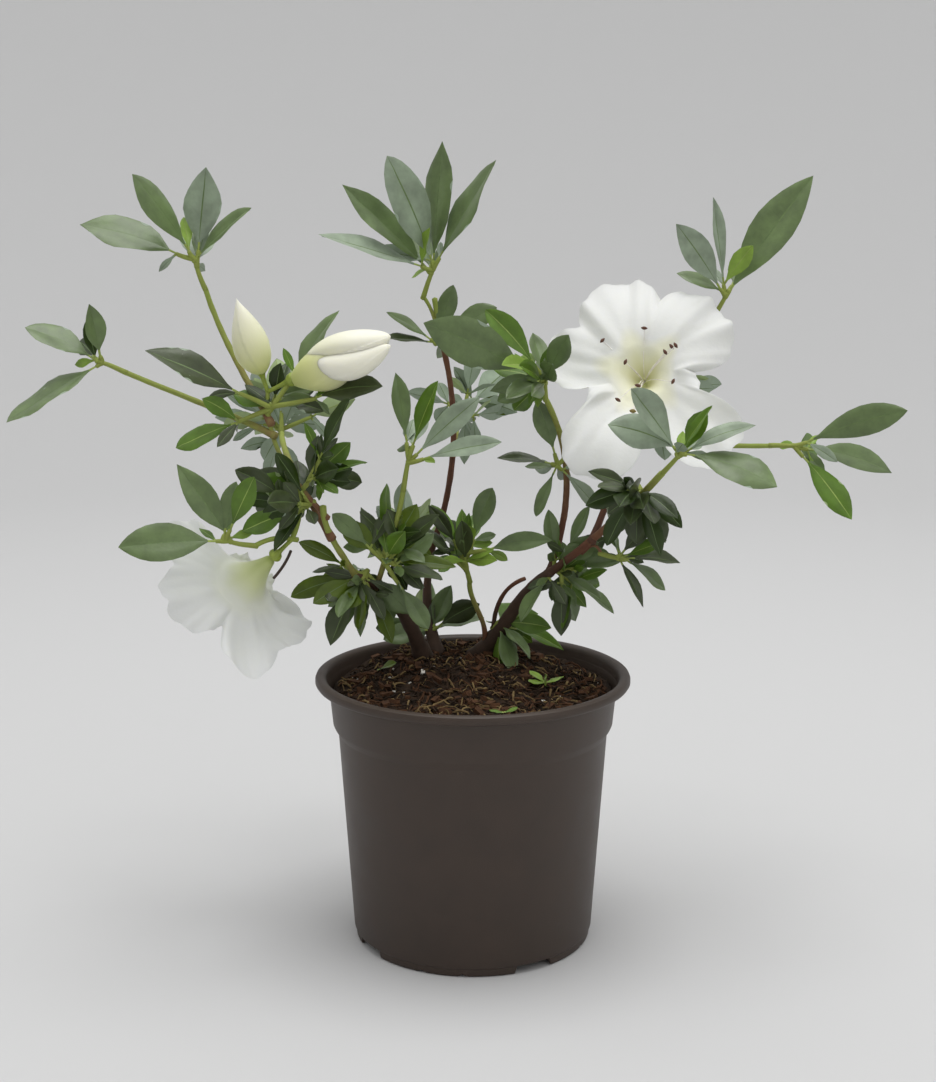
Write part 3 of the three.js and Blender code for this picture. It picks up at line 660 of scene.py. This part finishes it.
# leaf = a blade on a stalk. The midrib starts at the root and follows its heading; half width = c t^a (1 -
# t)^b; across it the blade is folded up by fold, curled down by curl and waved; it is a lens in section,
# closed at its rim
def leafShapes(root, heading, toward, length, width, bend, turn, tone, face, detail, random):
    count = len(length)
    shares, column = [np.array(part, float) for part in leaf[detail]]
    rows = np.array([0, *shares])
    stalk = np.minimum(leaf["stalk"], length * 0.13)[:, None]
    place = np.concatenate([np.zeros((count, 1)), stalk + (length[:, None] - stalk) * rows[1:]], 1)
    between = (place[:, 1:] + place[:, :-1]) / 2 / length[:, None] - 0.5
    droop = random.uniform(-4, 14, (count, 1))
    steps = bearing(heading[:, None] + bend[:, None] * between, toward[:, None] + droop * between)
    walked = np.cumsum(steps * np.diff(place)[..., None], 1)
    line = root[:, None] + np.concatenate([np.zeros((count, 1, 3)), walked], 1)
    along = unit(np.gradient(line, axis=1))
    flat = unit(face[:, None] - (face[:, None] * along).sum(-1, keepdims=True) * along)
    side = np.cross(along, flat)
    side *= np.where(side[:, 4:5, 2:] < -0.05, -1, 1)
    angle = np.radians(turn + random.normal(0, 4, count))[:, None, None]
    twist = np.radians(random.normal(0, 16, count))[:, None, None] * (rows[:, None] - 0.3)
    normal = np.cos(angle + twist) * flat + np.sin(angle + twist) * side
    across = np.cross(along, normal)
    pointed, blunt = random.uniform(0.95, 1.3, (count, 1)), random.uniform(0.78, 1.1, (count, 1))
    fullest = pointed / (pointed + blunt)
    outline = rows ** pointed * (1 - rows) ** blunt / (fullest ** pointed * (1 - fullest) ** blunt)
    half = np.maximum(outline * width[:, None] / 2, leaf["stalkHalfWidth"] * (1 - rows ** 2))
    half[:, -1] = 0.06
    isBlade = np.concatenate([[0, 0.3], np.ones(len(rows) - 2)])[:, None]
    fold = np.radians(random.uniform(8, 30, (count, 1, 1))) * (0.6 + 0.4 * isBlade)
    curl = random.uniform(0.05, 0.3, (count, 1, 1)) * isBlade
    phase = random.uniform(0, 6.3, (count, 1, 1)) + np.where(column > 0, 1.7, 0)
    wave = random.uniform(0.02, 0.11, (count, 1, 1)) * np.sin(rows[:, None] * 10 + phase) * isBlade
    veins = 0.22 * np.sin(rows[:, None] * 46 - np.abs(column) * 5) * isBlade
    veins = veins * (1 - np.abs(column)) * (detail == "fine")
    lift = half[..., None] * (np.abs(column) * np.sin(fold) + (wave - curl) * column ** 2) + veins
    sideways = half[..., None] * column * np.cos(fold)
    thick = np.where(isBlade > 0.5, leaf["thickness"] / 2, leaf["stalkHalfWidth"] * 0.8)
    thick = thick * (1 - column ** 2) ** 0.5
    groove = np.where(np.abs(column) < 0.1, 0.16, 0) * isBlade
    middle = line[:, :, None] + across[:, :, None] * sideways[..., None]
    top = middle + normal[:, :, None] * (lift + thick - groove)[..., None]
    bottom = middle + normal[:, :, None] * (lift - thick - 1.4 * groove)[..., None]
    high, wide = len(rows), len(column)
    upper = np.arange(high * wide).reshape(high, wide)
    lower = upper.copy()
    lower[1:-1, 1:-1] = high * wide + np.arange((high - 2) * (wide - 2)).reshape(high - 2, wide - 2)
    points = np.concatenate([top.reshape(count, -1, 3), bottom[:, 1:-1, 1:-1].reshape(count, -1, 3)], 1)
    grid = gridFaces(high, wide)
    cell = np.arange(len(grid)).reshape(high - 1, wide - 1)
    tones = len(toneNames)
    isYoung = (tone >= tones - 2)[:, None].astype(int)
    topNumber = np.repeat(tone[:, None], len(grid), 1)
    lowNumber = np.repeat(tones + isYoung, len(grid), 1)
    for number in (topNumber, lowNumber):
        number[:, cell[:, wide // 2 - 1]] = tones + 2 + isYoung
        number[:, cell[0]] = tones + 4
    offset = (np.arange(count) * points.shape[1])[:, None, None]
    faces = [((upper.ravel()[grid] + offset).reshape(-1, 4), topNumber.ravel()),
             ((lower.ravel()[grid][:, ::-1] + offset).reshape(-1, 4), lowNumber.ravel())]
    return {"points": points.reshape(-1, 3), "faces": faces}


# a leathery leaf has a soft wax sheen over slightly mottled green; the underside is lighter and matt
def leafFinishes():
    def mottled(first, second, sizeMm, strength):
        def paint(tree):
            return {"Base Color": mixOf(tree, noiseOf(tree, sizeMm, 3, 0.6), first, second),
                    "Normal": bumpOf(tree, noiseOf(tree, 2.2, 2), strength, 0.4)}
        return paint

    made = []
    for name, (code, roughness, wax) in leaf["tones"].items():
        values = {"Roughness": roughness, "Specular IOR Level": 0.35, "Coat Weight": wax,
                  "Coat Roughness": 0.3}
        made.append(finish("leaf " + name, values, mottled(shade(code, 0.86), shade(code, 1.14), 9, 0.3)))
    made += [finish(name, {"Roughness": 0.6}, mottled(shade(code, 0.94), shade(code, 1.06), 6, 0.35))
             for name, code in zip(("leaf underside", "young underside"), leaf["under"])]
    made += [driftingFinish(name, code, 0.45)
             for name, code in zip(("leaf midrib", "young midrib"), leaf["ribs"])]
    made.append(driftingFinish("leaf stalk", leaf["stalkColour"], 0.5))
    return made


# a mass's solid, ready for rays to be cast at it
def skinOf(name):
    points = nodePoints(name)
    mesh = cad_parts[name].data
    triangles = np.empty(len(mesh.polygons) * 3, np.int32)
    mesh.polygons.foreach_get("vertices", triangles)
    return BVHTree.FromPolygons(points.tolist(), triangles.reshape(-1, 3).tolist())


# how far a mass reaches from a place in a direction: a ray is cast back from beyond it, and
# reach = most - the ray's length; 0 where the mass isn't met
def reachTo(skin, start, direction, most=90):
    far = Vector(start + direction * most)
    hit = skin.ray_cast(far, Vector(-direction), most)
    return most - hit[3] if hit[0] is not None else 0


# a mass's own tips: corners that stand out from the middle further than all others within a cone
def tipsOf(name, coneDegrees=24, least=1.25):
    points = np.unique(np.round(nodePoints(name), 2), axis=0)
    middle = np.median(points, axis=0)
    out = points - middle
    reach = np.linalg.norm(out, axis=1)
    near = unit(out) @ unit(out).T > np.cos(np.radians(coneDegrees))
    isTip = (reach >= np.where(near, reach, 0).max(1) - 1e-6) & (reach > least * np.median(reach))
    return middle, points[isTip]


def headingOf(vector):
    vector = unit(vector)
    return np.degrees(np.arctan2(vector[2], vector[0])), np.degrees(np.arcsin(np.clip(-vector[1], -1, 1)))


# a direction at an angle off a way, turned round it: cos(off) way + sin(off) (cos(turn) u + sin(turn) v)
def offWay(way, off, turn):
    across = unit(np.cross(way, np.eye(3)[np.abs(way).argmin()]))
    over = np.cross(way, across)
    off, turn = np.radians(off), np.radians(turn)
    return np.cos(off) * way + np.sin(off) * (np.cos(turn) * across + np.sin(turn) * over)


# the point of any limb that lies nearest to a place
def nearestOnLimb(place):
    points = np.concatenate([limb["line"] for limb in limbs.values()])
    return points[np.linalg.norm(points - place, axis=1).argmin()]


# one leaf as a row for leafShapes: it sags with how level it lies, and faces outwards and up to the light
def leafRow(random, start, out, length, tone, face):
    head, near = headingOf(out)
    width = min(length * random.uniform(*crown["width"]), crown["widest"])
    bend = -np.cos(np.radians(head)) * random.uniform(*crown["sag"])
    lit = random.uniform(*crown["lit"])
    return (start, head, near, length, width, bend, lit, toneNames.index(tone), face)


# a whorl: leaves at golden-angle turns round a twig's end, each cut back to the mass's skin
def whorlRows(random, skin, end, way, longest, tones, face, habit):
    rows = []
    firstTurn = random.uniform(0, 360)
    for number in range(random.integers(*habit["whorl"], endpoint=True)):
        out = offWay(way, random.uniform(*crown["whorlSpread"]), firstTurn + crown["goldenAngle"] * number)
        length = longest * random.uniform(*habit["whorlLength"])
        length = min(length, 1.15 * reachTo(skin, end, out))
        if length > crown["shortest"]:
            rows.append(leafRow(random, end, out, length, random.choice(tones), face))
    return rows


# rows of leaves as one piece; the eighth value of a row is its tone's number
def addLeaves(name, rows, detail, random, nodes):
    columns = [np.array(column, float) for column in zip(*rows)]
    columns[7] = columns[7].astype(int)
    addPiece(name, leafShapes(*columns, detail, random), leafMaterials, "leaf", nodes, 50)
    print(len(rows), "leaves")


# open sprays at the ends, leafy ones within: shoot, twigs, end leaves, whorls and the leaves between them
def makeFoliage():
    random = np.random.default_rng(77)
    large, small, twigs = [], [], []
    masses = [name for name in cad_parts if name.startswith("foliage_")]
    for mass in masses:
        skin = skinOf(mass)
        middle, tips = tipsOf(mass)
        face = np.array([0, -1.0, 0]) if middle[1] < 50 else np.array([0, 1.0, 0])
        spray = mass.removeprefix("foliage_")
        tones = crown["tones"].get(spray, crown["otherTones"]).split()
        grown = [tone for tone in tones if tone != "young"]  # only short leaves are still young
        habit = crown["leafy" if spray in crown["leafyMasses"] else "open"]
        root = nearestOnLimb(middle)
        way = unit(middle - root)
        length = np.linalg.norm(middle - root) + crown["past"]
        twigs.append((root - way, way, length + 1))
        for tip in tips:
            foot = root + way * length * random.uniform(*habit["foot"])
            out = unit(tip - foot)
            whole = np.linalg.norm(tip - foot)
            onTwig = whole * random.uniform(*habit["twigShare"])
            end = foot + out * onTwig
            twigs.append((foot - out * 0.4, out, onTwig + 0.6))
            longest = np.clip(whole - onTwig, *crown["endLeaf"])
            large.append(leafRow(random, end, out, longest, random.choice(grown), face))
            small += whorlRows(random, skin, end, out, longest, tones, face, habit)
        for _ in range(habit["fill"]):
            start = root + way * length * random.uniform(0.4, 1)
            out = unit(unit(random.normal(size=3)) + 0.5 * way)
            reach = reachTo(skin, start, out)
            if reach > leaf["fill"][0]:
                size = min(reach, random.uniform(*leaf["fill"]))
                small.append(leafRow(random, start, out, size, random.choice(tones), face))
    addLeaves("leaves_large", large, "fine", random, masses)
    addLeaves("leaves_small", small, "plain", random, masses)

    # shoots: thin tubes that thin out towards their whorls
    steps = np.linspace(0, 1, 7)
    starts, ways, lengths = [np.array(column, float) for column in zip(*twigs)]
    lines = starts[:, None] + ways[:, None] * (lengths[:, None] * steps)[..., None]
    lines += 0.35 * ripple(lines, 22, 8)[..., None] * np.sin(np.pi * steps)[:, None]
    radii = np.repeat((1.15 - 0.35 * steps)[None], len(lines), 0)
    shape = tubes(lines, radii, 8)
    shape["values"] = {"age": np.full(len(shape["points"]), 0.12)}
    addPiece("shoots", shape, [bpy.data.materials["thin azalea bark"]], "bark", masses)


# seedlings and fallen leaves on the soil: leaves spread flat round a place, in one tone
def makeSprouts():
    random = np.random.default_rng(5)
    rows = []
    for (x, y), count, length, tone in soil["sprouts"]:
        foot = np.array([x, y, soilHeight(np.array(x), np.array(y)) + 1.2])
        for turn in np.arange(count) * 360 / count + random.uniform(-25, 25, count):
            rise = random.uniform(0.15, 0.5)
            out = unit(np.array([np.cos(np.radians(turn)), np.sin(np.radians(turn)), rise]))
            size = length * random.uniform(0.8, 1.1)
            head, near = headingOf(out)
            facing = np.array([0, -1.0, 0])
            rows.append((foot, head, near, size, size * 0.62, 0, 85, toneNames.index(tone), facing))
    addLeaves("soil_sprouts", rows, "plain", random, ["soil"])


leafMaterials = leafFinishes()
makeFoliage()
makeSprouts()
print("shoots and leaves are in place")

# Blooms and buds.
petal = {
    "thickness": 0.4,
    "columns": 200,
    "tubeShare": 0.4,  # of the way from base to rim
    "mouthRadius": 13,
    "calyxBelow": 3.4, "calyxLength": 1.8,  # the cup of a bloom starts below the tube's base
    "shades": [(0.0, "#d3d79a"), (0.12, "#e3e2b6"), (0.3, "#e9e8c8"), (0.44, "#e2e1ca"), (0.6, "#dfe0db")],
    # the hanging bloom's ramp is darker and greener towards the foot than the open bloom's: painted shade,
    # for a bloom that hangs in shade
    "hangingShades": [(0.0, "#a3b35a"), (0.2, "#ccd3a0"), (0.4, "#dcdfd0"), (0.7, "#dcdedb")],
    "budShades": [(0.0, "#b3bd6c"), (0.22, "#d3d693"), (0.5, "#e4e4bd"), (0.85, "#f1efdf")],
    "anther": "#5b3a2a", "filament": "#efe3dc", "stigma": "#7b6a32", "calyx": "#8a9a3c",
    "oldThread": "#3c2d22",
}
# five petals to a bloom: (turn round the axis, half width in degrees, reach, how far the tip lies in front of
# the tube's mouth, how far the petal bows forward); notch = the reach between petals / the reach of petals
bloomRight = {
    "limb": "bough_bloom", "stalk": (6, 100, 30), "axis": (115, 60), "depth": 14, "shades": "shades",
    "opening": 0.95,
    "lobes": [(50, 44, 43, -6, 2), (112, 36, 46, -8, 1), (168, 33, 41, 2, -2), (252, 29, 53, 15, 8),
              (316, 27, 53, 5, -1)],
    "notch": 0.5, "star": 19, "stamens": 11, "stamenReach": (3, 21), "pistil": (0, -22, 14),
}
bloomLeft = {
    "limb": "bough_low_left", "stalk": (7, 210, 0), "axis": (225, -35), "depth": 24,
    "shades": "hangingShades", "opening": 1.1,
    "lobes": [(0, 40, 35, 6, -2), (55, 30, 38, 3, 1), (150, 60, 15, 0, 0), (250, 40, 33, -5, 3),
              (292, 24, 42, -1, 2)],
    "notch": 0.6, "star": 13, "stamens": 0,
}
# the parts of a bud are pods: (line of (along, across, toward) from the bud's foot, half height, half depth,
# the powers that place the widest point, first and last shade)
buds = {
    "bud_upright": {
        "start": 7, "facing": (106, 10), "wraps": 3, "pods": [
            ([(0, 0, 0), (10, 0.4, 0), (21, 0.3, 0), (32.5, 0, 0)], 7.5, 7.2, (0.75, 1.2), (0.1, 0.92))]},
    "bud_side": {
        "start": 9, "facing": (27, 16), "wraps": 2, "pods": [
            ([(0, 0, 0), (10, -1.4, 0), (20, -2, 0), (31, -1.6, 0)], 9.2, 8.5, (1.0, 0.6), (0, 0.5)),
            ([(8, 3, -1), (23, 4.2, 0), (36, 1.2, 0), (48, -1.8, 0)], 5.4, 8, (0.8, 0.6), (0.5, 1.0)),
            ([(10, -2, -4), (24, -1, -5), (36, -1.4, -5), (46, -2.6, -3)], 6.5, 5, (0.8, 0.7), (0.4, 1.0)),
            ([(17.5, 0.4, 5), (25, -3.6, 6), (35, -5.8, 6), (47.5, -4.8, 3)], 5.8, 5, (0.45, 0.6),
             (0.8, 1.0))]},
}


# petals are thin and matt with a silky bloom to them; light soaks through, and the throat is yellow-green
def petalFinish(name, shades):
    def paint(tree):
        depth = addNode(tree, "ShaderNodeAttribute", {"attribute_name": "depth"}).outputs["Fac"]
        return {"Base Color": addRamp(tree, depth, shades).outputs["Color"],
                "Normal": bumpOf(tree, noiseOf(tree, 3, 3, 0.6), 0.25, 0.5)}
    return finish(name, {"Roughness": 0.55, "Specular IOR Level": 0.3, "Sheen Weight": 0.1,
                         "Subsurface Weight": 0.5, "Subsurface Radius": (1, 1, 0.8),
                         "Subsurface Scale": 0.002}, paint)


def awayFrom(angle, turn):
    return np.abs((angle - turn + 180) % 360 - 180)


# the rim: with d the turn from a petal's middle over its half width, the petal reaches out from the notches
# by (1 - d^2.5)^0.6, and the rim follows the furthest petal; front and bow are blended by exp(-d^2)
def rimOf(bloom, angle):
    turn, halfWidth, far, front, bow = np.array(bloom["lobes"], float).T[..., None]
    away = awayFrom(angle, turn) / halfWidth
    near = np.exp(-away ** 2)
    near = near / near.sum(0)
    notch = bloom["notch"] * (near * far).sum(0)
    petals = np.maximum(far - notch, 0) * np.maximum(1 - away ** 2.5, 0) ** 0.6
    return notch + petals.max(0), (near * front).sum(0), (near * bow).sum(0)


# one funnel of petals. Up to the mouth it is a tube that widens evenly; from there t = 0..1 to the rim, and
# radius = tube + (reach - tube) t, distance along the axis = depth + front t^1.6 + bow sin(pi t) + folds t
# + ruffles t^4
def corolla(base, axis, bloom, random):
    up = unit(np.array([0, 0, 1.0]) - axis[2] * axis)
    right = np.cross(up, axis)
    columns = petal["columns"]
    angle = np.arange(columns) * 360 / columns
    reach, front, bow = rimOf(bloom, angle)
    turn = np.radians(angle)
    tubeShare = petal["tubeShare"]
    share = np.concatenate([np.linspace(0.02, tubeShare, 12), np.linspace(tubeShare, 1, 30)[1:]])[:, None]
    t = np.clip((share - tubeShare) / (1 - tubeShare), 0, 1)
    inTube = np.minimum(share / tubeShare, 1)
    phase = random.uniform(0, 2 * np.pi, 9)
    mouth = np.minimum(petal["mouthRadius"], reach * 0.8)
    jag = 1 + 0.018 * np.sin(17 * turn + phase[6]) + 0.008 * np.sin(41 * turn + phase[7])
    radius = 1.6 + (mouth - 1.6) * inTube ** bloom["opening"] + (reach * jag - mouth) * t
    folds = (1.2 * np.sin(5 * turn + phase[0] + 0.8 * t) + 0.9 * np.sin(9 * turn + phase[1] + 1.5 * t)
             + 0.6 * np.sin(14 * turn + phase[2] - t) + 0.35 * np.sin(23 * turn + phase[8]))
    ruffles = (1.0 * np.sin(12 * turn + phase[3]) + 0.8 * np.sin(19 * turn + phase[4])
               + 0.4 * np.sin(33 * turn + phase[5]))
    depth = bloom["depth"] * np.sin(inTube * np.pi / 2) ** 0.85
    forward = (depth + front * t ** 1.6 + bow * np.sin(np.pi * t) + folds * t * (1.3 - 0.5 * t)
               + ruffles * t ** 4)
    spoke = np.cos(turn)[:, None] * right + np.sin(turn)[:, None] * up
    middle = base + radius[..., None] * spoke + forward[..., None] * axis
    around = np.roll(middle, -1, 1) - np.roll(middle, 1, 1)
    normal = unit(np.cross(around, np.gradient(middle, axis=0)))
    half = petal["thickness"] / 2 * np.sqrt(1 - share ** 8)[..., None]
    inner, outer = middle - normal * half, middle + normal * half
    rings = np.concatenate([outer, inner[::-1][1:]])
    shape = ringed(rings, base - axis * 0.6, base + axis * 0.4)
    star = sum(np.exp(-(awayFrom(angle, lobe[0]) / 17) ** 2) for lobe in bloom["lobes"])
    edge = 12 + (bloom["star"] - 12) * np.minimum(star, 1)
    grown = np.clip(0.5 * radius / edge, 0, 1)
    grown = np.concatenate([grown, grown[::-1][1:]])
    shape["values"] = {"depth": np.concatenate([grown.ravel(), [0, 0]])}
    return shape, right, up


# anthers are small dark pods, each on a thread that rises from the tube's base and curves out to it
def stamens(base, axis, right, up, bloom, random):
    steps = np.linspace(0, 1, 9)[:, None]
    turns = np.arange(bloom["stamens"]) * 2 * np.pi / bloom["stamens"]
    turns = turns + random.normal(0, 0.55, bloom["stamens"])
    reaches = random.uniform(*bloom["stamenReach"], bloom["stamens"])
    fronts = random.uniform(2, 8, bloom["stamens"])
    places = np.stack([reaches * np.cos(turns) - 3, reaches * np.sin(turns) - 1, fronts], -1)
    ends = [(place, 0.16, 0) for place in places] + [(bloom["pistil"], 0.28, 2)]
    lines, pods = [], []
    for (across, rise, front), radius, kind in ends:
        tip = base + axis * (bloom["depth"] + front) + right * across + up * rise
        bow = axis * 5 * np.sin(np.pi * steps) * (1 - steps)
        lines.append(base + axis * 3 + (tip - base - axis * 3) * steps + bow)
        way = unit(right * across + up * rise + axis * 2)
        pods.append((tip, unit(np.cross(way, axis + 0.3 * right)), kind))
    threads = tubes(np.array(lines), np.repeat([[radius] * 9 for _, radius, _ in ends], 1, 0), 6, 1)
    swell = np.array([0.25, 0.8, 1, 0.8, 0.25])
    reach = np.linspace(-1.3, 1.3, 5)[:, None]
    podLines = np.array([tip + way * reach for tip, way, _ in pods])
    isStigma = np.array([kind == 2 for _, _, kind in pods])
    parts = [threads]
    for chosen, size, number in ((~isStigma, 0.72, 0), (isStigma, 0.9, 2)):
        parts.append(tubes(podLines[chosen], np.repeat(size * swell[None], chosen.sum(), 0), 8, number))
    return joined(parts)


# one pod: ellipses along a cubic through the four points of its line, swelling by s^a (1 - s)^b; each of
# the wraps round it draws in a little from one edge to the next, so an edge shows where petals overlap
def podShape(start, facing, line, tall, deep, powers, shades, wraps):
    along = bearing(*facing)
    across = unit(np.array([-along[2], 0, along[0]]))
    toward = np.cross(across, along) * -1
    toward = toward * np.sign(-toward[1])
    share = np.linspace(0.004, 0.996, 40)
    places = np.array(line, float)
    cubics = [np.polyfit([0, 1 / 3, 2 / 3, 1], places[:, axis], 3) for axis in range(3)]
    path = np.stack([np.polyval(cubic, share) for cubic in cubics], -1)
    a, b = powers
    peak = a / (a + b)
    swell = (share / peak) ** a * ((1 - share) / (1 - peak)) ** b
    columns = 72
    angle = np.arange(columns) / columns
    wrap = (angle * wraps + 0.35 * share[:, None] + 0.2) % 1
    swell = swell[:, None] * (1 - 0.07 * wrap)
    turn = 2 * np.pi * angle
    offset = (path[:, 1:2] + tall * swell * np.cos(turn))[..., None] * across
    offset = offset + (path[:, 2:3] + deep * swell * np.sin(turn))[..., None] * toward
    rings = start + path[:, None, :1] * along + offset
    first = start + path[0, 0] * along + path[0, 1] * across + path[0, 2] * toward
    last = start + path[-1, 0] * along + path[-1, 1] * across + path[-1, 2] * toward
    shape = ringed(rings, first, last)
    grown = shades[0] + (shades[1] - shades[0]) * share
    shape["values"] = {"depth": np.concatenate([np.repeat(grown, columns), list(shades)])}
    return shape


# the stalk that carries a bloom or bud, swelling into the green cup at its foot
def calyx(place, base, axis, cup):
    line = np.concatenate([place + (base - place) * np.linspace(0, 1, 6)[:, None],
                           base + axis * np.linspace(0.15, 1, 6)[:, None] * cup])
    radii = np.array([0.95, 0.9, 0.9, 0.95, 1.1, 1.5, 2.1, 2.5, 2.7, 2.8, 2.9, 3.0]) * 0.95
    return tubes(line[None], radii[None], 14, 0)


def makeBlooms():
    random = np.random.default_rng(12)
    titles = {"shades": "azalea petal", "hangingShades": "shaded petal", "budShades": "closed petal"}
    finishes = {name: petalFinish(title, petal[name]) for name, title in titles.items()}
    threadFinishes = [driftingFinish("anther", petal["anther"], 0.7),
                      driftingFinish("stamen thread", petal["filament"], 0.5),
                      driftingFinish("stigma", petal["stigma"], 0.4)]
    green = driftingFinish("calyx", petal["calyx"], 0.5)
    for name, bloom, ahead in (("bloom_right", bloomRight, 1), ("bloom_left", bloomLeft, 4)):
        foot = alongLimb(bloom["limb"], 0)
        length, *way = bloom["stalk"]
        base = alongLimb(bloom["limb"], ahead) + length * bearing(*way)
        axis = bearing(*bloom["axis"])
        shape, right, up = corolla(base, axis, bloom, random)
        addPiece(name + "_petals", shape, [finishes[bloom["shades"]]], "petal", [name], 60)
        cup = calyx(foot, base - petal["calyxBelow"] * axis, axis, petal["calyxLength"])
        addPiece(name + "_calyx", cup, [green], "petal", [name])
        if bloom["stamens"]:
            threads = stamens(base, axis, right, up, bloom, random)
            addPiece(name + "_stamens", threads, threadFinishes, "petal", [name])
    for name, bud in buds.items():
        foot = alongLimb("bough_buds", 0)
        start = foot + bud["start"] * bearing(*bud["facing"])
        shapes = [podShape(start, bud["facing"], *pod, bud["wraps"]) for pod in bud["pods"]]
        addPiece(name + "_petals", joined(shapes), [finishes["budShades"]], "petal", [name], 50)
        cup = calyx(foot, start + bearing(*bud["facing"]) * 0.5, bearing(*bud["facing"]), 3)
        addPiece(name + "_calyx", cup, [green], "petal", [name])

    # a dried thread left hanging beside the lower bloom
    foot = alongLimb("bough_low_left", 0)
    steps = np.linspace(0, 1, 8)[:, None]
    line = foot + np.array([-0.4, -0.5, -4.5]) + steps * np.array([-7, -1.5, -11])
    line = line + steps * (1 - steps) * [3, 0, 0]
    old = driftingFinish("dried thread", petal["oldThread"], 0.7)
    addPiece("bloom_left_thread", tubes(line[None], np.full((1, 8), 0.6), 8), [old], "petal", ["bloom_left"])


makeBlooms()
print("blooms and buds are in place")
